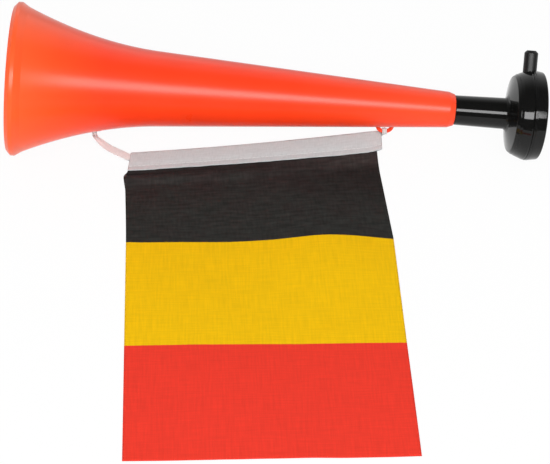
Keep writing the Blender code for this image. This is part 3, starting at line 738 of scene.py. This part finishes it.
stem_corners = [
    (BELL_LENGTH - PLUG_LENGTH, STEM_BORE, 0.0002), (BELL_LENGTH - PLUG_LENGTH, PLUG_RADIUS, 0.0006),
    (BELL_LENGTH + 0.0003, PLUG_RADIUS, 0), (BELL_LENGTH + 0.0003, STEM_RADIUS_FRONT, 0.0006),
    (STEM_END, STEM_RADIUS_REAR, 0.0006), (STEM_END + 0.0004, STEM_RADIUS_REAR + 0.0004, 0.0003),
    (STEM_END + 0.0010, STEM_RADIUS_REAR + 0.0007, 0.0004),
    (STEM_END + 0.0018, STEM_RADIUS_REAR + 0.0024, 0.0007), (HOUSING_BACK, BACK_RADIUS, 0.0007),
    (HOUSING_BACK + 0.0021, BACK_RADIUS + 0.0016, 0.0004),
    (HOUSING_BACK + 0.0024, BACK_RADIUS + 0.0016 - GROOVE, 0.0001),
    (BAND_START - 0.0003, BAND_START_RADIUS - GROOVE, 0.0001), (BAND_START, BAND_START_RADIUS, 0.0003),
    (SEAM - 0.0008, SEAM_RADIUS, 0.0005), (SEAM, SEAM_RADIUS - GROOVE, 0.0001), (SEAM, SPIGOT_RADIUS, 0),
    (SEAM + SPIGOT_LENGTH, SPIGOT_RADIUS, 0.0003), (SEAM + SPIGOT_LENGTH, CHAMBER_RADIUS, 0.0003),
    (BAND_START, CHAMBER_RADIUS, 0.0008), (HOUSING_BACK + 0.0021, CHAMBER_RADIUS - 0.0013, 0.0006),
    (HOUSING_BACK - 0.0006, STEM_BORE + 0.0020, 0.0006), (SEAM + SPIGOT_LENGTH, STEM_BORE + 0.0020, 0.0004),
    (SEAM + SPIGOT_LENGTH, STEM_BORE, 0.0004)]
stem_bm = turned(rounded(stem_corners, steps=4))
stem_bm.transform(HORN_LINE)
stem = new_piece("stem_and_shell", stem_bm, [black_plastic], sharp=40)
cut_pipe_hole(stem)
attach(stem, "mouthpiece")
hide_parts("mouthpiece")

# Diaphragm: a thin clear plastic film across the front of the housing. It lies on the rim and on the end
# of the seat tube, and the cap holds its edge. It keeps its own solid and gets a film's finish.
FILM_TINT = (0.86, 0.88, 0.90)
FILM_ROUGHNESS = 0.12
film, film_tree, film_shader = shader_material("clear_film", FILM_TINT, FILM_ROUGHNESS)
film_shader.inputs["Transmission Weight"].default_value = 0.6
film_shader.inputs["IOR"].default_value = 1.5
film_place = film_tree.nodes.new("ShaderNodeTexCoord")
film_ripple = clouded(film_tree, film_place.outputs["Object"], scale=160, detail=2)
raised(film_tree, film_shader, film_ripple, strength=0.25, depth=0.0002)
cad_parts["diaphragm"].data.materials.clear()
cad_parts["diaphragm"].data.materials.append(film)

# Cap: the front shell of the housing, a glossy black moulding that pushes over the spigot and traps the
# film. A fine bead and groove run round its edge at the seam, and a small vent pierces its face.
CAP_LENGTH = 0.0091
CAP_BEAD = 0.0011
CAP_GROOVE = 0.0008
CAP_RADIUS = 0.0313
CAP_FRONT_RADIUS = 0.0303
CAP_EDGE = 0.0009
CAP_WALL = 0.0016
CAP_VENT = 0.0030
FILM_ROOM = 0.0008
seam_s = SEAM + ROOM
groove_s = seam_s + CAP_BEAD
band_s = groove_s + CAP_GROOVE
face_s = seam_s + CAP_LENGTH
ledge_s = SEAM + SPIGOT_LENGTH + FILM_ROOM
cap_corners = [
    (seam_s, CAP_RADIUS - 0.0004, 0.0001), (seam_s + 0.0003, CAP_RADIUS, 0.0004),
    (groove_s, CAP_RADIUS, 0.0003), (groove_s + 0.0002, CAP_RADIUS - GROOVE, 0.0001),
    (band_s - 0.0002, CAP_RADIUS - GROOVE, 0.0001), (band_s, CAP_RADIUS, 0.0003),
    (face_s - CAP_EDGE * 0.6, CAP_FRONT_RADIUS, 0.0012), (face_s, CAP_FRONT_RADIUS - CAP_EDGE * 1.6, 0.0010),
    (face_s, CAP_VENT + 0.0004, 0.0003), (face_s - 0.0005, CAP_VENT, 0.0003),
    (face_s - CAP_WALL, CAP_VENT, 0.0002), (face_s - CAP_WALL, CHAMBER_RADIUS, 0.0006),
    (ledge_s, CHAMBER_RADIUS, 0.0003), (ledge_s, SPIGOT_RADIUS + ROOM, 0),
    (seam_s, SPIGOT_RADIUS + ROOM, 0.0002)]
cap_bm = turned(rounded(cap_corners, steps=4))
cap_bm.transform(HORN_LINE)
cap = new_piece("cap_shell", cap_bm, [black_plastic], sharp=40)
cut_pipe_hole(cap)
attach(cap, "cap")
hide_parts("cap")

# Blow pipe: a short black tube set in the housing's rim across the seam, with a chamfered tip. The air
# goes in through it.
PIPE_BORE = 0.0026
PIPE_CHAMFER = 0.0017
PIPE_STEPS = 72
PIPE_BLACK = (0.0075, 0.0073, 0.0070)
pipe_corners = [
    (PIPE_ROOT, PIPE_BORE, 0.0002), (PIPE_ROOT, PIPE_RADIUS, 0.0002),
    (PIPE_TIP - PIPE_CHAMFER, PIPE_RADIUS, 0.0007), (PIPE_TIP, PIPE_RADIUS - PIPE_CHAMFER, 0.0004),
    (PIPE_TIP, PIPE_BORE, 0.0003)]
satin_black = moulded_plastic("satin_black", PIPE_BLACK, roughness=0.42, spread=0.04, peel=0.10,
                              specular=0.26)
pipe_bm = turned(rounded(pipe_corners), steps=PIPE_STEPS)
pipe_bm.transform(PIPE_LINE)
pipe = new_piece("blow_pipe_tube", pipe_bm, [satin_black], sharp=40)
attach(pipe, "mouthpiece")
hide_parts("blow_pipe")

# Hoist sleeve: a white woven tape folded double along the flag's upper edge and stitched to it. It is a
# tunnel for the ribbon, pinched flat along the stitches and open at both ends.
SLEEVE_PLY = 0.00036
TUNNEL_HALF = 0.00074
PINCH_HALF = 0.00042
STITCH_LINE = 0.0040
SLEEVE_WHITE = (0.53, 0.565, 0.57)
SLEEVE_COLUMNS = 180
SLEEVE_ROWS = 40
PINCH_REACH = 0.0022
EDGE_GAPE = 0.00022
EDGE_WAVE = 0.00025
WAVES_ALONG = 90
PUCKER = 0.00012
PUCKERS_ALONG = 260
PUCKERS_DOWN = 60
SLEEVE_RUN = (FOLD_RIGHT - FOLD_LEFT).length
half_turn = math.pi * TUNNEL_HALF
tape_across = 2 * (SLEEVE_WIDTH - TUNNEL_HALF) + half_turn


def on_sleeve(u, v):
    """A point of the folded tape, v running from the front's lower edge over the fold to the back's."""
    walked = v * tape_across
    straight = SLEEVE_WIDTH - TUNNEL_HALF
    if walked < straight or walked > straight + half_turn:
        side = 1 if walked < straight else -1
        q = SLEEVE_WIDTH - (walked if side > 0 else tape_across - walked)
        stitched = math.exp(-((SLEEVE_WIDTH - STITCH_LINE - q) / PINCH_REACH) ** 2)
        below = max(0.0, (q - SLEEVE_WIDTH + STITCH_LINE) / STITCH_LINE)
        ripple = noise.noise(Vector((u * SLEEVE_RUN * PUCKERS_ALONG, side * 3.0, q * PUCKERS_DOWN)))
        n = side * (TUNNEL_HALF + (PINCH_HALF - TUNNEL_HALF) * stitched + below * EDGE_GAPE)
        n += ripple * PUCKER * (0.4 + 1.2 * stitched + below)
        wave = noise.noise(Vector((u * SLEEVE_RUN * WAVES_ALONG, side * 5.0, 1.5)))
        q += EDGE_WAVE * wave * below
    else:
        angle = (walked - straight) / TUNNEL_HALF
        q = TUNNEL_HALF * (1 - math.sin(angle))
        n = TUNNEL_HALF * math.cos(angle)
    return fold_line(u) + sleeve_down(u) * q + sleeve_normal(u) * n


sleeve_white = woven_tape("sleeve_white", SLEEVE_WHITE, warp_pitch=0.00042, weft_pitch=0.00030, strength=0.5)
sleeve_bm = place_grid(SLEEVE_COLUMNS, SLEEVE_ROWS, on_sleeve,
                       lambda u, v: (u * SLEEVE_RUN, v * tape_across))
sleeve = new_piece("sleeve_tape", sleeve_bm, [sleeve_white])
give_thickness(sleeve, SLEEVE_PLY)
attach(sleeve, "flag")
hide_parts("hoist_sleeve")

# Hoist stitches: a running line of white thread near the sleeve's lower edge, through both plies and the
# cloth between them. Each stitch is a low arch that dips into the tape at both ends.
STITCH = 0.0030
STITCH_SHARE = 0.86
STITCH_START = 0.07
STITCH_PLACES = (0.0, 0.08, 0.25, 0.5, 0.75, 0.92, 1.0)
STITCH_SIDES = 8
STITCH_DIP = 0.55
THREAD = 0.00032
THREAD_WHITE = (0.65, 0.67, 0.67)
thread_white, thread_tree, thread_shader = shader_material("thread_white", THREAD_WHITE, roughness=0.6)
thread_place = thread_tree.nodes.new("ShaderNodeTexCoord")
thread_twist = thread_tree.nodes.new("ShaderNodeTexWave")
thread_twist.bands_direction = "DIAGONAL"
thread_twist.inputs["Scale"].default_value = 900
thread_tree.links.new(thread_place.outputs["Object"], thread_twist.inputs["Vector"])
raised(thread_tree, thread_shader, thread_twist.outputs["Fac"], strength=0.5, depth=0.00005)

thread_bm = bmesh.new()
stitch_count = round(SLEEVE_RUN / STITCH)
for k in range(stitch_count):
    for side in (1, -1):
        arch_points = []
        for t in STITCH_PLACES:
            u = (k + STITCH_START + STITCH_SHARE * t) / stitch_count
            level = PINCH_HALF + SLEEVE_PLY / 2 + THREAD * (math.sin(math.pi * t) ** 0.6 - STITCH_DIP)
            arch_points.append(fold_line(u) + sleeve_down(u) * (SLEEVE_WIDTH - STITCH_LINE)
                               + sleeve_normal(u) * level * side)
        swept(thread_bm, arch_points, [THREAD / 2] * len(arch_points), sleeve_down(u).normalized(),
              STITCH_SIDES)
bmesh.ops.recalc_face_normals(thread_bm, faces=thread_bm.faces)
stitches = new_piece("sleeve_stitches", thread_bm, [thread_white])
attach(stitches, "flag")
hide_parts("hoist_thread")

# Flag: one thin woven cloth, printed in three plain bands. It drops from the sleeve to the table, where
# it lies in low soft folds, with a tuck under the sleeve's left end and a slack swell near its right edge.
FLAG_HOIST = 0.178
FLAG_FLY = 0.268
CLOTH = 0.00026
HEM = 0.0075
FLAG_TURN = math.radians(2.68)
FLY_CORNER = Vector((-0.089595, -0.166536, 0))
FLY_BOW = 0.0003
CLOTH_INSET = 0.0036
GATHER = 0.0019
GATHER_SOON = 0.0012
RIDGE_HEIGHT = 0.0044
RIDGE_PLACE = 0.0088
RIDGE_FRONT = 0.0028
RIDGE_BULGE = 0.0009
TUCK_FALL = 0.0016
TUCK_ACROSS = 0.55
SWELL_PLACE = 0.78
SWELL_WIDTH = 0.20
SWELL_HEIGHT = 0.0030
SWELL_SHIFT = 0.0032
SWELL_FADE = 0.45
SETTLE_REACH = 0.03
SLOW_FOLD = 0.0007
MIDDLE_FOLD = 0.00028
FINE_FOLD = 0.00005
FOLD_ROOM = 0.00002
HEM_ROWS = 4
SLOPE_ROWS = 62
BAND_ROWS = 60
COLUMNS = 124
BLACK_PRINT = (0.0225, 0.0236, 0.0216)
# This warmer black is the black under a painted warm bounce of light from the orange bell.
BLACK_IN_PAINTED_BOUNCE = (0.0250, 0.0190, 0.0182)
YELLOW_PRINT = (0.81, 0.48, 0.0005)
RED_PRINT = (0.77, 0.040, 0.022)
# The black takes a painted warm bounce of light from the orange bell between these heights, in bands. The
# rows are height on the print and shade: painted light and shade at the hoist's left and right end, where the
# cloth turns under the sleeve, with painted shade in the tuck and painted light on the ridge at the left, and
# a painted sheen on the slope under the sleeve and painted shade below it at the right.
PAINTED_BOUNCE_FROM = 2.35
PAINTED_BOUNCE_TO = 2.90
LEFT_PAINTED_LIGHT_AND_SHADE = ((FLAG_FLY, 0.80), (0.2555, 0.80), (0.2520, 1.30), (0.2480, 1.12), (0.2330, 1.0))
LEFT_PAINTED_LIGHT_END = 0.115
RIGHT_PAINTED_LIGHT_AND_SHADE = ((FLAG_FLY, 1.55), (0.2540, 1.50), (0.2470, 0.72), (0.2330, 0.78), (0.2050, 1.0))
RIGHT_PAINTED_LIGHT_END = 0.085
PRINT_THREAD = 0.0003
PRINT_PITCH = 0.00040

flag_along = Vector((math.cos(FLAG_TURN), math.sin(FLAG_TURN), 0))
flag_up = Vector((-math.sin(FLAG_TURN), math.cos(FLAG_TURN), 0))
band = FLAG_FLY / 3
right_end = 1 - CLOTH_INSET / SLEEVE_RUN
total_rows = HEM_ROWS + SLOPE_ROWS + 2 * BAND_ROWS


def table_folds(place):
    """Height of the low folds where the cloth lies on the table."""
    slow = noise.noise(Vector((place.x * 16 + place.y * 5, place.y * 11, 0.3)))
    middle = noise.noise(Vector((place.x * 42, place.y * 30 + place.x * 12, 4.7)))
    fine = noise.noise(Vector((place.x * 120, place.y * 120, 9.1)))
    folds = SLOW_FOLD * (slow + 0.5) + MIDDLE_FOLD * (middle + 0.4) + FINE_FOLD * (fine + 0.5)
    return max(0.0, folds) + FOLD_ROOM


def slope_share(row):
    """How far a row is on its way from the sleeve to the first printed border; the first rows are close."""
    return ((row - HEM_ROWS) / SLOPE_ROWS) ** 1.4


def on_flag(u, v):
    """A point of the cloth, u along the hoist and v from the fly up to the edge inside the sleeve."""
    row = (1 - v) * total_rows
    down = sleeve_down(u * right_end)
    edge = fold_line(u * right_end) + down * SLEEVE_WIDTH
    sway = math.exp(-((u - SWELL_PLACE) / SWELL_WIDTH) ** 2)
    lying = FLY_CORNER + flag_along * FLAG_HOIST * u
    border = lying + flag_up * (2 * band + SWELL_SHIFT * sway) + Vector((0, 0, CLOTH / 2))
    if row <= HEM_ROWS:
        return edge - down * HEM * (1 - row / HEM_ROWS)
    if row <= HEM_ROWS + SLOPE_ROWS:
        t = slope_share(row)
        ahead_of_sleeve = (border - edge).length * t
        fall = TUCK_FALL + (2 * edge.z * down.y / down.z - TUCK_FALL) * min(1.0, u / TUCK_ACROSS)
        drop = max(0.0, 1 - ahead_of_sleeve / fall) ** 2
        climb = min(1.0, ahead_of_sleeve / RIDGE_PLACE)
        ridge = climb * climb * (3 - 2 * climb) * (1 - u) ** 1.2
        ridge *= math.exp(-(max(0.0, ahead_of_sleeve - RIDGE_PLACE) / RIDGE_FRONT) ** 2)
        point = edge.lerp(border, t)
        swell = SWELL_HEIGHT * sway * math.sin(math.pi / 2 * t) ** 3
        settled = min(1.0, ahead_of_sleeve / SETTLE_REACH)
        point.z = (CLOTH / 2 + (edge.z - CLOTH / 2) * drop + RIDGE_HEIGHT * ridge + swell
                   + settled * table_folds(point))
        point.x -= RIDGE_BULGE * math.sqrt(ridge) * (1 - u) ** 4
        point.x -= GATHER * (1 - t) ** 1.3 * (1 - u) ** 5 * min(1.0, ahead_of_sleeve / GATHER_SOON)
        return point
    below = (row - HEM_ROWS - SLOPE_ROWS) / BAND_ROWS
    point = lying + flag_up * band * (2 - below)
    bow = FLY_BOW * math.sin(math.pi * u) * below / 2
    fade = math.exp(-(below / SWELL_FADE) ** 2)
    point += flag_up * (SWELL_SHIFT * sway * max(0.0, 1 - below) - bow)
    point.z = CLOTH / 2 + SWELL_HEIGHT * sway * fade + table_folds(point)
    return point


def flag_map(u, v):
    """Where a point of the cloth is on the flat print, in metres from its lower left corner."""
    row = (1 - v) * total_rows
    if row >= HEM_ROWS + SLOPE_ROWS:
        return u * FLAG_HOIST, band * (2 - (row - HEM_ROWS - SLOPE_ROWS) / BAND_ROWS)
    if row >= HEM_ROWS:
        return u * FLAG_HOIST, 2 * band + (band - HEM) * (1 - slope_share(row))
    return u * FLAG_HOIST, FLAG_FLY - HEM * row / HEM_ROWS


printed_cloth, print_tree, print_shader = shader_material("printed_cloth", YELLOW_PRINT, roughness=0.82)
print_place = woven_relief(print_tree, print_shader, PRINT_PITCH, PRINT_PITCH, strength=0.35, depth=0.00006)
print_split = print_tree.nodes.new("ShaderNodeSeparateXYZ")
print_tree.links.new(print_place.outputs["UV"], print_split.inputs[0])


def printed_edge(height):
    """A factor that goes from 0 below a height on the print to 1 above it, over a thread's width."""
    return respanned(print_tree, print_split.outputs["Y"], height - PRINT_THREAD, height + PRINT_THREAD)


def painted_hoist_light(rows, full_at, none_at):
    """Painted light and shade along rows of (height on the print, shade), fading to 1 along the hoist."""
    grey_rows = [(at, (level,) * 3) for at, level in rows]
    shade = color_rows(print_tree, print_split.outputs["Y"], grey_rows, "EASE")
    share = respanned(print_tree, print_split.outputs["X"], none_at, full_at, smooth=True)
    return switched(print_tree, share, 1.0, shade)


red_or_yellow = mixed_color(print_tree, printed_edge(band), plain_color(print_tree, RED_PRINT),
                            plain_color(print_tree, YELLOW_PRINT))
# Painted warm bounce of light from the orange bell on the black near the sleeve, mixed with random patches.
painted_bounce = respanned(print_tree, print_split.outputs["Y"], PAINTED_BOUNCE_FROM * band, PAINTED_BOUNCE_TO * band)
painted_bounce_and_patches = worked_out(print_tree, "ADD", painted_bounce, streaks(print_tree, print_place, (45, 60, 1), -0.4, 0.4))
painted_bounce_and_patches.node.use_clamp = True
dull_black = mixed_color(print_tree, painted_bounce_and_patches, plain_color(print_tree, BLACK_PRINT),
                         plain_color(print_tree, BLACK_IN_PAINTED_BOUNCE))
black_band = dull_black
# The last two shades are painted light and shade where the cloth turns under the sleeve.
for black_shade in (streaks(print_tree, print_place, (80, 420, 1), 0.74, 1.26),
                    streaks(print_tree, print_place, (600, 120, 1), 0.84, 1.16),
                    painted_hoist_light(LEFT_PAINTED_LIGHT_AND_SHADE, 0.0, LEFT_PAINTED_LIGHT_END),
                    painted_hoist_light(RIGHT_PAINTED_LIGHT_AND_SHADE, FLAG_HOIST, RIGHT_PAINTED_LIGHT_END)):
    black_band = scaled_color(print_tree, black_band, black_shade)
all_bands = mixed_color(print_tree, printed_edge(2 * band), red_or_yellow, black_band)
warp_streaks = streaks(print_tree, print_place, (900, 60, 1), 0.94, 1.05)
weft_streaks = streaks(print_tree, print_place, (60, 900, 1), 0.95, 1.04)
streaked = scaled_color(print_tree, scaled_color(print_tree, all_bands, warp_streaks), weft_streaks)
print_tree.links.new(streaked, print_shader.inputs["Base Color"])
print_shader.inputs["Sheen Weight"].default_value = 0.02
print_shader.inputs["Sheen Roughness"].default_value = 0.5
print_shader.inputs["Specular IOR Level"].default_value = 0.08

flag_bm = place_grid(COLUMNS, total_rows, on_flag, flag_map)
flag = new_piece("flag_sheet", flag_bm, [printed_cloth])
give_thickness(flag, CLOTH)
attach(flag, "flag")
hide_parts("flag_cloth")
